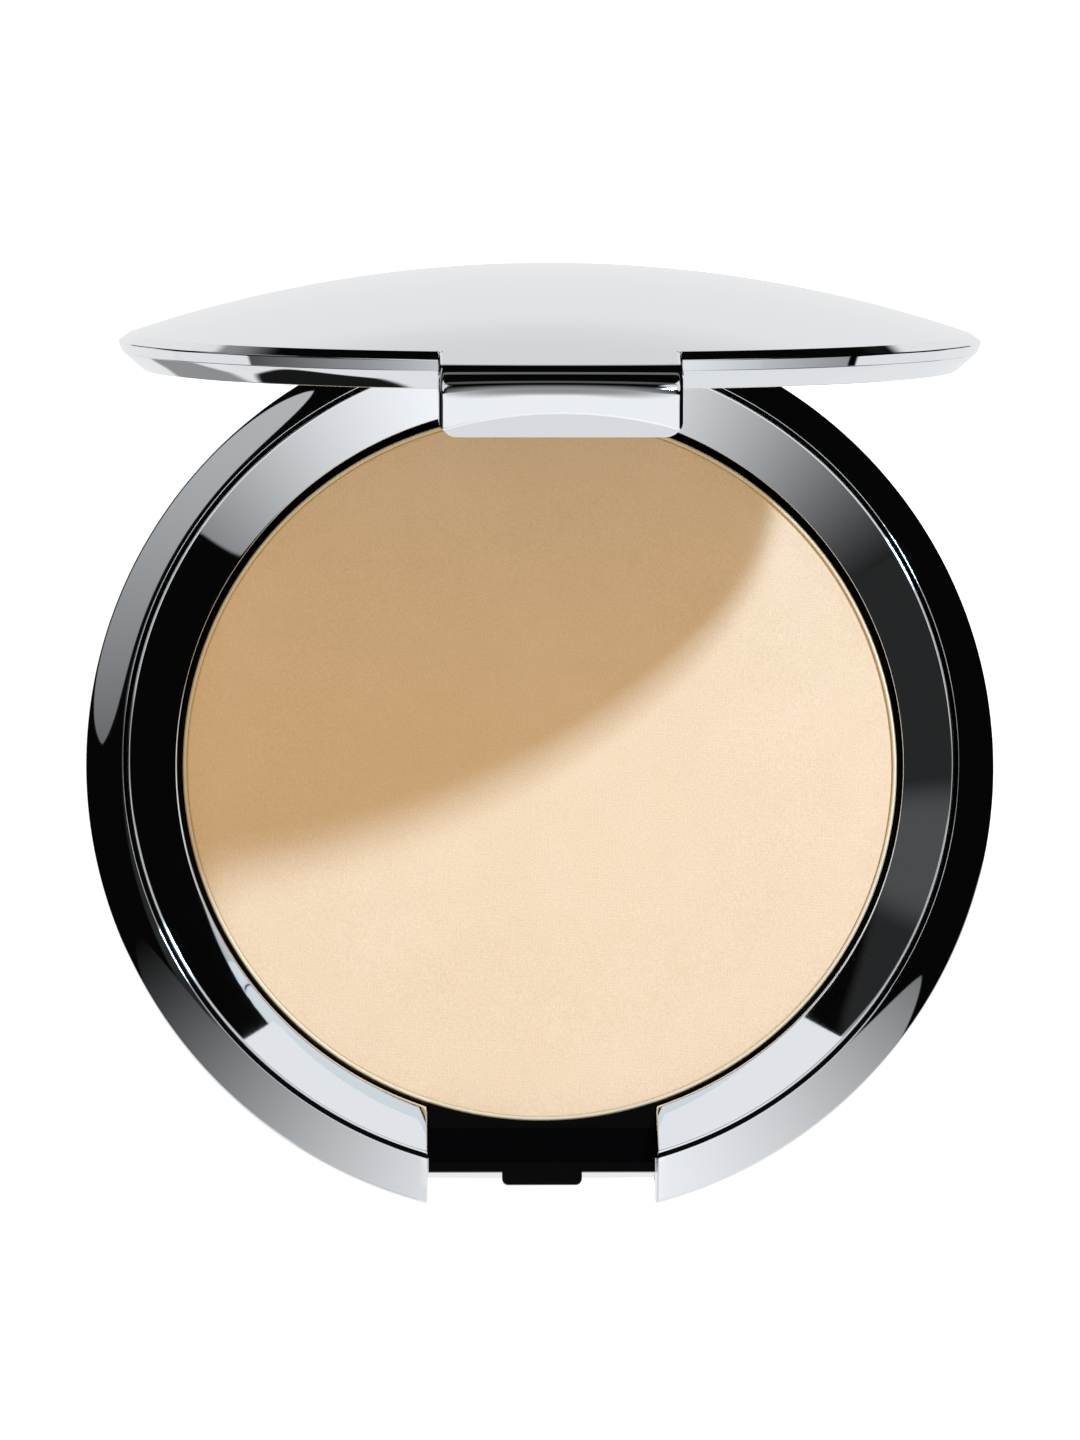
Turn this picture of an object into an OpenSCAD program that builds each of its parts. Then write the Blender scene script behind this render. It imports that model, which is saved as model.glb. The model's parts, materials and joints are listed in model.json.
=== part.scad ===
// Round powder compact: a plated bowl with a bevelled rim, a plated inner bezel,
// a black tray that holds the powder pan, and a domed mirror lid on a rear pin hinge.
// Origin: centre of the flat foot. +Z up, +Y towards the hinge, notch and thumb tab at -Y.

/* [Overall] */
// Widest diameter of the base
base_d = 74.5; // [60:0.5:95]
// Height of the base's top step above the foot
rim_z = 10.8; // [9:0.1:14]
// How far the lid stands open from closed, in degrees
lid_open = 76.8; // [0:0.1:120]

/* [Base shell] */
// Width of the outer bevel, from the widest edge in to the groove
bevel_w = 3.15; // [2.6:0.05:4.5]
// Height of the outer bevel
bevel_h = 3.33; // [2:0.05:4]
// How far the bevel bulges past a straight cone
bevel_crown = 0.1; // [0:0.05:0.6]
// Height of the upright band under the bevel
band_h = 1.97; // [1:0.05:2.4]
// Radius of the flat foot
foot_r = 23.5; // [18:0.5:25]
// Floor thickness of the shell
shell_floor = 1.3; // [1:0.1:1.6]
// Wall thickness at the bowl's turn
shell_wall = 1.6; // [1.2:0.1:2]
// Diameter of the label recess under the foot
label_d = 34; // [20:1:38]
// Thickness of the label, flush with the foot
label_t = 0.15; // [0.1:0.05:0.3]
// Gap round the label in its recess
label_gap = 0.05; // [0.02:0.01:0.2]

/* [Front notch] */
// Width of the notch for the thumb tab
notch_w = 18.7; // [14:0.1:22]
// How far the notch's flat wall lies inside the groove's outer edge
notch_inset = 0.45; // [0.3:0.05:0.8]
// Depth of the tray's lip below the step
lip_drop = 2.9; // [2.4:0.1:3.2]
// Thickness of the lip and its latch nose
lip_t = 0.85; // [0.6:0.05:1]
// Width of the latch nose
nose_w = 6.5; // [4:0.1:9]
// How far the latch nose stands out of the wall
nose_l = 1.04; // [0.6:0.02:1.2]
// Corner radius of the latch nose
nose_r = 0.5; // [0.2:0.05:0.6]
// Thickness of the shell's flat front wall
front_wall = 1.2; // [0.8:0.1:1.5]

/* [Inner bezel] */
// Width of the sloping ring, measured level
cone_w = 3.65; // [2.5:0.05:5]
// Width of the bead along the top of the bezel
bead_w = 0.3; // [0.2:0.02:0.5]
// Width of the groove between the bead and the shell
groove_w = 0.35; // [0.2:0.05:0.5]
// Depth of the bezel's outer skirt
skirt_h = 2.2; // [1.8:0.1:2.5]
// Height of the bezel's inner edge above the pan's rim
bezel_lift = 1; // [0.6:0.05:1.5]
// Thickness of the bezel's inner edge
bezel_edge = 0.4; // [0.3:0.05:0.6]

/* [Tray, pan and powder] */
// Space under the tray floor, which the weight plate fills
under_tray = 1.15; // [0.9:0.05:1.5]
// Thickness of the tray floor
tray_floor = 0.8; // [0.6:0.05:1.2]
// Thickness of the tray's wall
tray_wall = 1.2; // [0.9:0.05:1.4]
// Thickness of the ring that the tray stands on
support_t = 1; // [0.8:0.1:1.4]
// Height of the ring that centres the pan
locator_h = 1.75; // [1:0.05:2.2]
// Thickness of the ring that centres the pan
locator_t = 0.9; // [0.6:0.05:1.1]
// Height of the pan
pan_h = 3.2; // [2.2:0.05:3.6]
// Sheet thickness of the pan
pan_t = 0.35; // [0.25:0.05:0.5]
// Thickness of the glue pad under the pan
glue_t = 0.15; // [0.1:0.05:0.25]
// Diameter of the glue pad
glue_d = 40; // [20:1:44]
// Depth of the powder's edge below the pan's rim
powder_drop = 0.3; // [0.1:0.05:0.5]
// Height of the powder's crown over its edge
powder_crown = 0.25; // [0:0.05:0.6]
// Thickness of the steel weight plate
weight_t = 1; // [0.6:0.05:1]

/* [Lid] */
// How far the lid's edge overhangs the bezel's cone
lid_overhang = 0.24; // [0.1:0.02:0.4]
// Height of the lid's edge under the dome
edge_h = 1.1; // [0.9:0.05:1.6]
// Radius that rounds the lid's edge
edge_r = 0.85; // [0.5:0.05:1]
// Height of the dome over its edge
dome_h = 5.67; // [4.5:0.05:7]
// Wall thickness of the dome
dome_t = 1.3; // [1:0.05:1.5]
// Depth of the bevel on the lid's liner
liner_h = 1.48; // [1.2:0.02:1.8]
// Width of the bevel on the lid's liner
liner_bevel = 1.77; // [1.4:0.01:2.4]
// Thickness of the mirror glass
mirror_t = 1.6; // [1.2:0.1:1.7]
// Width of the liner's flat ring round the mirror
mirror_frame = 3.7; // [3.2:0.1:6]
// Thickness of the mirror's silvered backing
silver_t = 0.1; // [0.06:0.02:0.14]
// Thickness of the adhesive tape behind the mirror
tape_t = 0.25; // [0.15:0.05:0.3]

/* [Thumb tab] */
// Depth of the tab's lower edge below the step, with the lid closed
tab_drop = 4.61; // [4.2:0.05:5.2]
// How far the tab's face lies inside the base's widest edge
tab_inset = 0.34; // [0.2:0.02:0.8]
// Radius of the roll from the dome to the tab's face
roll_r = 2.9; // [2:0.1:3.2]
// Corner radius of the tab's lower edge
tab_corner = 1.4; // [0.8:0.1:2]
// Height of the thumb facet on the tab's middle
facet_h = 1.9; // [1.2:0.1:2.4]
// How far the thumb facet cuts in at the tab's lower edge
facet_in = 1.6; // [0.8:0.1:1.7]
// Width of the catch ledge inside the tab
ledge_w = 9; // [6:0.5:12]
// Thickness of the catch ledge
ledge_t = 0.18; // [0.1:0.02:0.3]

/* [Hinge] */
// Diameter of the hinge pin
pin_d = 1.3; // [1:0.05:1.6]
// Wall of the hinge barrels round the pin
barrel_wall = 0.8; // [0.6:0.05:0.9]
// Width of the lid's middle barrel
knuckle_w = 12; // [8:0.5:16]
// Width of each of the base's two ears
ear_w = 5.6; // [4:0.1:8]
// Distance of the pin's axis outside the groove's outer edge
hinge_out = 0.6; // [0.4:0.05:0.9]
// Depth of the pin's axis below the step
hinge_drop = 0.7; // [0.5:0.05:1]

/* [Clearances] */
// Gap between the closed lid's edge and the base's step
lid_gap = 0.2; // [0.15:0.05:0.4]
// Gap between the tab and each side of the notch
notch_gap = 0.26; // [0.2:0.02:0.4]
// Gap that the catch ledge passes the latch nose with
latch_gap = 0.08; // [0.05:0.01:0.15]
// Radial gap between the pin and the lid's barrel
pin_gap = 0.03; // [0.02:0.01:0.06]
// Side gap between the lid's barrel and each ear
side_gap = 0.15; // [0.1:0.05:0.3]
// Gap round the lid's barrel in its slot
slot_gap = 0.3; // [0.2:0.05:0.5]
// Radial gap between the pan and the bezel
pan_gap = 0.45; // [0.3:0.01:0.8]
// Radial gap between the pan and its centring ring
pan_fit = 0.1; // [0.05:0.01:0.2]
// Gap round parts that drop into the shell
drop_fit = 0.12; // [0.05:0.01:0.2]
// Radial gap between the mirror and the liner
mirror_fit = 0.15; // [0.1:0.01:0.3]

/* [Hidden] */
$fn = 128;
big = 200;
arc_steps = 16;
skin = 0.1;        // gap between parts of one body that are glued or snapped together
merge = 0.5;       // how far joined shapes run into each other
lip_root = 3;      // how far the tray's lip reaches in under the pan's centring ring
lip_ledge = 0.8;   // level width of the lip behind the notch's wall
lip_back_in = 0.2; // where the lip's sloping top ends, inside the bezel's inner edge
lip_back_drop = 0.3;
tray_turn = 2.75;  // height of the slope under the tray's wall, which clears the bowl
tray_turn_in = 3.4;
liner_step = 0.04; // how far the liner's edge lies inside the lid's edge
glass_sink = 0.13; // depth of the glass behind the liner's face
spigot_in = 1.89;  // width of the lid's edge outside the liner's spigot
arm_in = 0.7;      // where the hinge arm starts, inside the lid's edge
tab_root = 1.5;    // how far the tab runs into the lid's edge
ledge_trim = 0.15; // gap above and below the catch ledge
tape_in = 0.5;     // margin of the tape inside the mirror's edge
web_in = 0.5;      // width of the liner's web outside the mirror's hole

// Base, from the outside in and from the foot up
base_r = base_d / 2;
bevel_in_r = base_r - bevel_w;
bead_out_r = bevel_in_r - groove_w;
cone_top_r = bead_out_r - bead_w;
cone_in_r = cone_top_r - cone_w;
pan_r = cone_in_r - pan_gap;
widest_z = rim_z - bevel_h;
bowl_z = widest_z - band_h;
tray_under_z = shell_floor + under_tray;
tray_top_z = tray_under_z + tray_floor;
pan_under_z = tray_top_z + glue_t;
pan_rim_z = pan_under_z + pan_h;
cone_in_z = pan_rim_z + bezel_lift;
skirt_z = rim_z - skirt_h;
tray_out_r = bevel_in_r - drop_fit;
locator_r = pan_r + pan_fit;
powder_r = pan_r - pan_t;
notch_y = -(bevel_in_r - notch_inset);
lip_z = rim_z - lip_drop;
lip_under_z = lip_z - lip_t;
wall_in_y = notch_y + front_wall;
nose_y = notch_y - nose_l;
support_r = foot_r - support_t;
weight_r = support_r - drop_fit;

// Hinge
hinge_y = bevel_in_r + hinge_out;
hinge_z = rim_z - hinge_drop;
barrel_r = pin_d / 2 + barrel_wall;
slot_w = knuckle_w + 2 * side_gap;
pin_l = slot_w + 2 * ear_w;
slot_r = barrel_r + slot_gap;

// Lid, as it lies when closed
lid_r = cone_top_r + lid_overhang;
edge_z = rim_z + lid_gap;
dome_edge_z = edge_z + edge_h;
dome_top_z = dome_edge_z + dome_h;
dome_r = (lid_r * lid_r + dome_h * dome_h) / (2 * dome_h);
edge_mid_z = tuck_z(lid_r, edge_r);
edge_fall = asin((edge_mid_z - edge_z) / edge_r);
edge_end_r = lid_r - edge_r * (1 - cos(edge_fall));
liner_z = edge_z - liner_h;
liner_top_r = edge_end_r - liner_step;
liner_face_r = liner_top_r - liner_bevel;
mirror_hole_r = liner_face_r - mirror_frame;
mirror_r = mirror_hole_r - mirror_fit;
glass_z = liner_z + glass_sink;
silver_z = glass_z + mirror_t;
tape_z = silver_z + silver_t;
web_z = tape_z + tape_t;
spigot_r = lid_r - spigot_in;
arm_y = lid_r - arm_in;

// Thumb tab
tab_r = base_r - tab_inset;
tab_w = notch_w - 2 * notch_gap;
tab_z = rim_z - tab_drop;
ledge_y = nose_y - latch_gap;
tab_in_y = ledge_y - ledge_t;

// Height of the dome's outer face at radius r
function dome_z(r) = dome_top_z - (dome_r - sqrt(dome_r * dome_r - r * r));

// Middle height of a round of this radius that meets the dome smoothly and has its side at radius r
function tuck_z(r, radius) =
    dome_top_z - dome_r + sqrt(pow(dome_r - radius, 2) - pow(r - radius, 2));

// Slope of the dome, in degrees, where such a round meets it
function tuck_slope(r, radius) = asin((r - radius) / (dome_r - radius));

// Height of the dome's inner face at radius r
function ceiling_z(r) = dome_z(r) - dome_t;

// Radius at which the bowl's inner face reaches height z
function hollow_r(z) =
    foot_r + (base_r - shell_wall - foot_r) * sqrt(1 - pow((bowl_z - z) / (bowl_z - shell_floor), 2));

// Points on an ellipse about (r, z), by the angle below its side
function bowl_arc(r, z, a, b, from, to) =
    [for (i = [0:arc_steps]) let (t = from + (to - from) * i / arc_steps)
        [r + a * cos(t), z - b * sin(t)]];

// Points on a circular arc about (r, z)
function round_arc(r, z, radius, from, to, steps = 8) =
    [for (i = [0:steps]) let (t = from + (to - from) * i / steps)
        [r + radius * cos(t), z + radius * sin(t)]];

// The crowned bevel, from the widest edge up to the groove
function bevel_curve() =
    [for (i = [0:8]) let (t = i / 8, lift = bevel_crown * 4 * t * (1 - t), len = norm([bevel_w, bevel_h]))
        [base_r - bevel_w * t + lift * bevel_h / len, widest_z + bevel_h * t + lift * bevel_w / len]];

// Outline on the YZ plane carried w wide across X
module across(w) { rotate([90, 0, 90]) linear_extrude(w, center = true) children(); }

// A level box, w wide about X = 0, from y0 to y1 and from z0 to z1
module block(w, y0, y1, z0, z1) { translate([-w / 2, y0, z0]) cube([w, y1 - y0, z1 - z0]); }

// A cylinder along the hinge axis
module barrel(r, w) { translate([0, hinge_y, hinge_z]) rotate([0, 90, 0]) cylinder(r = r, h = w, center = true); }

// Turns a lid piece about the hinge, from closed to where it stands open
module opened() {
    translate([0, hinge_y, hinge_z]) rotate([-lid_open, 0, 0]) translate([0, -hinge_y, -hinge_z]) children();
}

module shell_outside() {
    rotate_extrude() polygon(concat([[0, 0]], bowl_arc(foot_r, bowl_z, base_r - foot_r, bowl_z, 90, 0),
        bevel_curve(), [[0, rim_z]]));
}

module shell_hollow() {
    side_a = base_r - shell_wall - foot_r;
    start = acos((bevel_in_r - foot_r) / side_a);
    rotate_extrude() polygon(concat([[0, rim_z + 1], [bevel_in_r, rim_z + 1]],
        bowl_arc(foot_r, bowl_z, side_a, bowl_z - shell_floor, start, 90), [[0, shell_floor]]));
}

module notch_space() {
    block(notch_w, -big, notch_y, -1, rim_z + 1);
    block(notch_w, -big, -cone_in_r + cone_w, lip_under_z, rim_z + 1);
}

module hinge_slot(extra = 0) {
    block(slot_w + 2 * extra, hinge_y - slot_r - extra, big, hinge_z - slot_r - extra, rim_z + 5);
}

module base_shell() color("silver") difference() {
    union() {
        difference() {
            shell_outside();
            shell_hollow();
        }
        intersection() {
            shell_outside();
            block(notch_w + 1, notch_y - 1, wall_in_y, shell_floor / 2, lip_under_z);
        }
        barrel(barrel_r, pin_l);
    }
    notch_space();
    hinge_slot();
    barrel(pin_d / 2, big);
    translate([0, 0, -1]) cylinder(d = label_d, h = 1 + label_t);
}

module base_label() color("whitesmoke") cylinder(d = label_d - 2 * label_gap, h = label_t);

module weight_plate() color("dimgray") translate([0, 0, shell_floor]) cylinder(r = weight_r, h = weight_t);

module tray_body() {
    foot_edge = min(locator_r + locator_t / 2, hollow_r(tray_under_z - drop_fit));
    rotate_extrude() polygon([[0, tray_under_z], [support_r, tray_under_z], [support_r, shell_floor],
        [support_r + support_t, shell_floor], [support_r + support_t, tray_under_z], [foot_edge, tray_under_z],
        [tray_out_r, tray_under_z + tray_turn], [tray_out_r, skirt_z], [tray_out_r - tray_wall, skirt_z],
        [tray_out_r - tray_wall, tray_under_z + tray_turn_in], [locator_r + locator_t, tray_top_z + 1],
        [locator_r + locator_t, tray_top_z + locator_h], [locator_r, tray_top_z + locator_h],
        [locator_r, tray_top_z], [0, tray_top_z]]);
}

module tray_lip() {
    lip_w = notch_w - 2 * drop_fit;
    difference() {
        across(lip_w) polygon([[-locator_r + lip_root, tray_top_z + 1], [wall_in_y + drop_fit, tray_top_z + 1],
            [wall_in_y + drop_fit, lip_under_z], [notch_y, lip_under_z], [notch_y, lip_z], [notch_y + lip_ledge, lip_z],
            [-cone_in_r - lip_back_in, cone_in_z - lip_back_drop],
            [-locator_r + lip_root, cone_in_z - lip_back_drop]]);
        cylinder(r = locator_r, h = rim_z + 1);
    }
    translate([0, 0, lip_under_z]) linear_extrude(lip_t) {
        translate([-nose_w / 2, nose_y + nose_r]) square([nose_w, nose_l - nose_r + merge]);
        translate([-nose_w / 2 + nose_r, nose_y]) square([nose_w - 2 * nose_r, nose_l]);
        for (side = [-1, 1]) translate([side * (nose_w / 2 - nose_r), nose_y + nose_r]) circle(r = nose_r);
    }
}

module pan_tray() color("black") union() {
    difference() {
        tray_body();
        block(notch_w + 1 + 2 * drop_fit, -big, wall_in_y + drop_fit, -1, lip_under_z);
        block(notch_w, -big, -cone_in_r + cone_w, lip_under_z, rim_z + 1);
        hinge_slot(skin);
    }
    tray_lip();
}

module pan_glue() color("ivory") translate([0, 0, tray_top_z]) cylinder(d = glue_d, h = glue_t);

module pan() color("palegoldenrod") rotate_extrude()
    polygon([[0, pan_under_z], [pan_r, pan_under_z], [pan_r, pan_rim_z], [powder_r, pan_rim_z],
        [powder_r, pan_under_z + pan_t], [0, pan_under_z + pan_t]]);

module powder_cake() color("burlywood") rotate_extrude()
    polygon(concat([[0, pan_under_z + pan_t], [powder_r, pan_under_z + pan_t]],
        [for (i = [0:8]) let (t = i / 8)
            [powder_r * (1 - t), pan_rim_z - powder_drop + powder_crown * (1 - pow(1 - t, 4))]]));

module base_bezel() color("silver") difference() {
    rotate_extrude() polygon(concat([[cone_in_r, cone_in_z - bezel_edge], [cone_in_r, cone_in_z],
        [cone_top_r, rim_z]], round_arc(cone_top_r + bead_w / 2, rim_z, bead_w / 2, 150, 0, 6),
        [[bead_out_r, skirt_z], [tray_out_r - tray_wall, skirt_z],
            [cone_in_r + bezel_edge, cone_in_z - bezel_edge]]));
    block(notch_w, -big, 0, -1, rim_z + 1);
    hinge_slot();
}

module hinge_pin() color("lightslategray") barrel(pin_d / 2, pin_l);

module dome_body() {
    slope = tuck_slope(lid_r, edge_r);
    dome_end_r = lid_r - edge_r + edge_r * sin(slope);
    rotate_extrude() polygon(concat([[0, edge_z]],
        round_arc(lid_r - edge_r, edge_mid_z, edge_r, -edge_fall, 90 - slope),
        [for (i = [2 * arc_steps - 1:-1:0]) let (r = dome_end_r * i / (2 * arc_steps)) [r, dome_z(r)]]));
}

module dome_hollow() {
    hollow_r = spigot_r + skin;
    rotate_extrude() polygon(concat([[0, edge_z - 1], [hollow_r, edge_z - 1]],
        [for (i = [2 * arc_steps:-1:0]) let (r = hollow_r * i / (2 * arc_steps)) [r, ceiling_z(r)]]));
}

module thumb_tab() {
    root_r = lid_r - tab_root;
    slope = tuck_slope(tab_r, roll_r);
    roll_top_r = tab_r - roll_r + roll_r * sin(slope);
    facet_z = tab_z + facet_h;
    intersection() {
        rotate_extrude() polygon(concat([[root_r, tab_z]],
            [for (i = [0:3]) let (r = root_r + (roll_top_r - root_r) * i / 4) [r, dome_z(r)]],
            round_arc(tab_r - roll_r, tuck_z(tab_r, roll_r), roll_r, 90 - slope, 0), [[tab_r, tab_z]]));
        difference() {
            translate([0, -root_r / 2, 0]) rotate([90, 0, 0]) linear_extrude(big) union() {
                translate([-tab_w / 2, tab_z + tab_corner]) square([tab_w, big]);
                translate([-tab_w / 2 + tab_corner, tab_z]) square([tab_w - 2 * tab_corner, big]);
                for (side = [-1, 1])
                    translate([side * (tab_w / 2 - tab_corner), tab_z + tab_corner]) circle(r = tab_corner);
            }
            block(big, tab_in_y, 0, -1, edge_z);
            across(big) polygon([[-tab_r, facet_z], [-tab_r + facet_in, tab_z], [-tab_r + facet_in, tab_z - 1],
                [-tab_r - 1, tab_z - 1], [-tab_r - 1, facet_z]]);
        }
    }
    block(ledge_w, tab_in_y - ledge_t, ledge_y, tab_z + ledge_trim, lip_under_z - ledge_trim);
}

module knuckle_arm() {
    lean = 20;
    across(knuckle_w) polygon([[arm_y, edge_z], [arm_y, dome_z(arm_y) - skin / 2],
        [hinge_y + barrel_r * sin(lean), hinge_z + barrel_r * cos(lean)], [hinge_y, hinge_z],
        [hinge_y - barrel_r * cos(lean / 2), hinge_z + barrel_r * sin(lean / 2)]]);
    barrel(barrel_r, knuckle_w);
}

module lid_shell() color("gainsboro") opened() difference() {
    union() {
        difference() {
            dome_body();
            dome_hollow();
        }
        thumb_tab();
        knuckle_arm();
    }
    barrel(pin_d / 2 + pin_gap, big);
}

module lid_liner() {
    web_r = mirror_hole_r + web_in;
    web_top_z = ceiling_z(web_r) - skin;
    color("silver") opened() difference() {
        rotate_extrude() polygon([[0, web_z], [mirror_hole_r, web_z], [mirror_hole_r, liner_z],
            [liner_face_r, liner_z], [liner_top_r, edge_z], [spigot_r, edge_z],
            [spigot_r, ceiling_z(spigot_r) - skin], [web_r, web_top_z], [0, web_top_z]]);
        block(slot_w, arm_y - skin, big, 0, big);
    }
}

module mirror_tape() color("dimgray") opened() translate([0, 0, tape_z]) cylinder(r = mirror_r - tape_in, h = tape_t);

module mirror_backing() color("slategray") opened() translate([0, 0, silver_z]) cylinder(r = mirror_r, h = silver_t);

module mirror_glass() color("lightcyan") opened() translate([0, 0, glass_z]) cylinder(r = mirror_r, h = mirror_t);

base_shell();
base_label();
weight_plate();
pan_tray();
pan_glue();
pan();
powder_cake();
base_bezel();
hinge_pin();
lid_shell();
lid_liner();
mirror_tape();
mirror_backing();
mirror_glass();
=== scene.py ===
import json
import math

import bmesh
import bpy
import numpy as np
from mathutils import Matrix, Vector


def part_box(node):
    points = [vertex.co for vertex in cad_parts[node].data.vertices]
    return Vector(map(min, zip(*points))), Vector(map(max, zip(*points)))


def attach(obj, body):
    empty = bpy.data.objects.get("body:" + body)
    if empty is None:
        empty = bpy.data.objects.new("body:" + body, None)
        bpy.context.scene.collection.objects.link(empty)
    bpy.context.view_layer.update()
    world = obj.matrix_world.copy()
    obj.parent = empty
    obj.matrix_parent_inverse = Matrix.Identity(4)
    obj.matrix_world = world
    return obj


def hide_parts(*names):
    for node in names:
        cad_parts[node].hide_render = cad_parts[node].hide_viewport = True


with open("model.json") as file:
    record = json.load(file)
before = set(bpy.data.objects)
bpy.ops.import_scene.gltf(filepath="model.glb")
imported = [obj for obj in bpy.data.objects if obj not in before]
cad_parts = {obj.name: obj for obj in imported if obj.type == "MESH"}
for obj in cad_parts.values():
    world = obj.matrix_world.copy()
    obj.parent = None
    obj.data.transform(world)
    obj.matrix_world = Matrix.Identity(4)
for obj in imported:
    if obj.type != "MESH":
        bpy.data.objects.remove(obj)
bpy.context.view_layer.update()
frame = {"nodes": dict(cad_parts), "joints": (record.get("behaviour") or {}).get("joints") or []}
scene = bpy.context.scene
mm = 0.001


def nodeBox(name):
    # corners of a node's box, in millimetres
    lo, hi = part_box(name)
    return np.array(lo) / mm, np.array(hi) / mm


hinge = next(j for j in frame["joints"] if j["name"] == "lid_hinge")
hingePos = np.array(hinge["pos_m"]) / mm
openAngle = -math.radians(hinge["range_deg"][0])  # from closed to where the lid stands

bezelLow, bezelHigh = nodeBox("base_bezel")
shellHigh = nodeBox("base_shell")[1]
panLow, panHigh = nodeBox("pan")
powderHigh = nodeBox("powder_cake")[1]
glassHigh = nodeBox("mirror_glass")[1]

base = {
    "radius": shellHigh[0],       # widest edge
    "stepHeight": bezelHigh[2] - 0.15,
    "bevelWidth": 3.15,
    "bevelHeight": 3.33,
    "bevelCrown": 0.1,
    "bandHeight": 1.97,
    "footRadius": 23.5,
    "labelRadius": 17.0,
    "labelDepth": 0.15,
    "notchHalf": 9.35,
    "notchInset": 0.45,
    "notchFloor": 3.75,           # wall top below the step
    "wallThick": 1.2,
    "slotHalf": 6.15,
    "slotRadius": 1.75,
    "earWall": 0.8,
    "cornerRound": 0.14,
    "labelRound": 0.08,
    "edgeRound": 0.3,
    "rimRound": 0.09,
    "grooveDepth": 1.2,
    # the hidden inside, from under the groove to the middle of the floor, as (in from the groove, height)
    "insideSteps": ((0.0, 5.0), (3.5, 2.6)),
    "floorRadius": 20.0,
    "floorThick": 1.3,
    "outlineGap": 1.5,            # longest step along the outline
}
base["grooveRadius"] = base["radius"] - base["bevelWidth"]


def makePiece(name, verts, faces, body, material, sharp=32.0, weld=1e-6):
    # a mesh from points in millimetres, welded, facing out, smooth up to the sharp angle
    mesh = bpy.data.meshes.new(name)
    mesh.from_pydata((np.asarray(verts, float) * mm).tolist(), [], faces)
    mesh.update()
    obj = bpy.data.objects.new(name, mesh)
    scene.collection.objects.link(obj)
    cleanMesh(mesh, weld, sharp)
    mesh.materials.append(material)
    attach(obj, body)
    return obj


def cleanMesh(mesh, weld, sharp):
    # joins points closer than the weld distance in metres, turns faces outward, and creases at the sharp angle
    bm = bmesh.new()
    bm.from_mesh(mesh)
    bmesh.ops.remove_doubles(bm, verts=bm.verts, dist=weld)
    bmesh.ops.dissolve_degenerate(bm, edges=bm.edges, dist=weld)
    bmesh.ops.recalc_face_normals(bm, faces=bm.faces)
    bm.to_mesh(mesh)
    bm.free()
    mesh.polygons.foreach_set("use_smooth", np.ones(len(mesh.polygons), bool))
    mesh.set_sharp_from_angle(angle=math.radians(sharp))
    mesh.update()


def gridFaces(rows, cols, wrapRows=False, wrapCols=False):
    # quads between neighbouring rows and columns of a rows x cols grid
    i = np.arange(rows if wrapRows else rows - 1)
    j = np.arange(cols if wrapCols else cols - 1)
    i, j = np.meshgrid(i, j, indexing="ij")
    i2, j2 = (i + 1) % rows, (j + 1) % cols
    return np.stack([i * cols + j, i * cols + j2, i2 * cols + j2, i2 * cols + j], -1).reshape(-1, 4).tolist()


def arc(cx, cz, radius, start, stop, steps):
    # points on a circle about (cx, cz), by angle in degrees from the +r direction
    t = np.radians(np.linspace(start, stop, steps + 1))
    return np.stack([cx + radius * np.cos(t), cz + radius * np.sin(t)], 1)


def roundCorners(points, radius, steps=5):
    # each corner of an open outline is replaced by an arc tangent to both sides, as far as they reach
    pts = [np.asarray(p, float) for p in points]
    radii = radius if isinstance(radius, (list, tuple)) else [radius] * len(pts)
    out = [pts[0]]
    for k in range(1, len(pts) - 1):
        a, b, c = pts[k - 1], pts[k], pts[k + 1]
        u, v = (a - b) / np.linalg.norm(a - b), (c - b) / np.linalg.norm(c - b)
        half = math.acos(np.clip(u @ v, -1, 1)) / 2
        if radii[k] <= 0 or half > math.radians(88.5):
            out.append(b)
            continue
        reach = min(radii[k] / math.tan(half), 0.49 * np.linalg.norm(a - b), 0.49 * np.linalg.norm(c - b))
        r = reach * math.tan(half)
        centre = b + (u + v) / np.linalg.norm(u + v) * r / math.sin(half)
        p, q = b + u * reach - centre, b + v * reach - centre
        angle = math.acos(np.clip(p @ q / (r * r), -1, 1))
        for s in np.linspace(0, 1, steps + 1):
            w = (math.sin((1 - s) * angle) * p + math.sin(s * angle) * q) / math.sin(angle)
            out.append(centre + w)
    out.append(pts[-1])
    return np.array(out)


def densify(points, gap):
    # extra points along an outline so that no step is longer than the gap
    out = [points[0]]
    for a, b in zip(points[:-1], points[1:]):
        n = max(1, int(math.ceil(np.linalg.norm(b - a) / gap)))
        out.extend(a + (b - a) * s for s in np.linspace(0, 1, n + 1)[1:])
    return np.array(out)


def spin(profile, segments=384):
    # profile of (radius, height) pairs turned about the upright axis
    t = np.linspace(0, 2 * np.pi, segments, endpoint=False)
    x = profile[:, 0][:, None] * np.cos(t)
    y = profile[:, 0][:, None] * np.sin(t)
    z = np.repeat(profile[:, 1][:, None], segments, 1)
    return np.stack([x, y, z], -1).reshape(-1, 3), gridFaces(len(profile), segments, wrapCols=True)


def openLid(verts):
    # turns points of the closed lid about the hinge to where the lid stands open
    v = np.asarray(verts, float) - hingePos
    c, s = math.cos(openAngle), math.sin(openAngle)
    turned = np.stack([v[:, 0], v[:, 1] * c + v[:, 2] * s, -v[:, 1] * s + v[:, 2] * c], 1)
    return turned + hingePos


def srgb(code):
    # a hex colour such as "e0c9a0" as linear red, green, blue and alpha
    parts = [int(code[k:k + 2], 16) / 255 for k in (0, 2, 4)]
    return tuple(p / 12.92 if p <= 0.04045 else ((p + 0.055) / 1.055) ** 2.4 for p in parts) + (1.0,)


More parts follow.
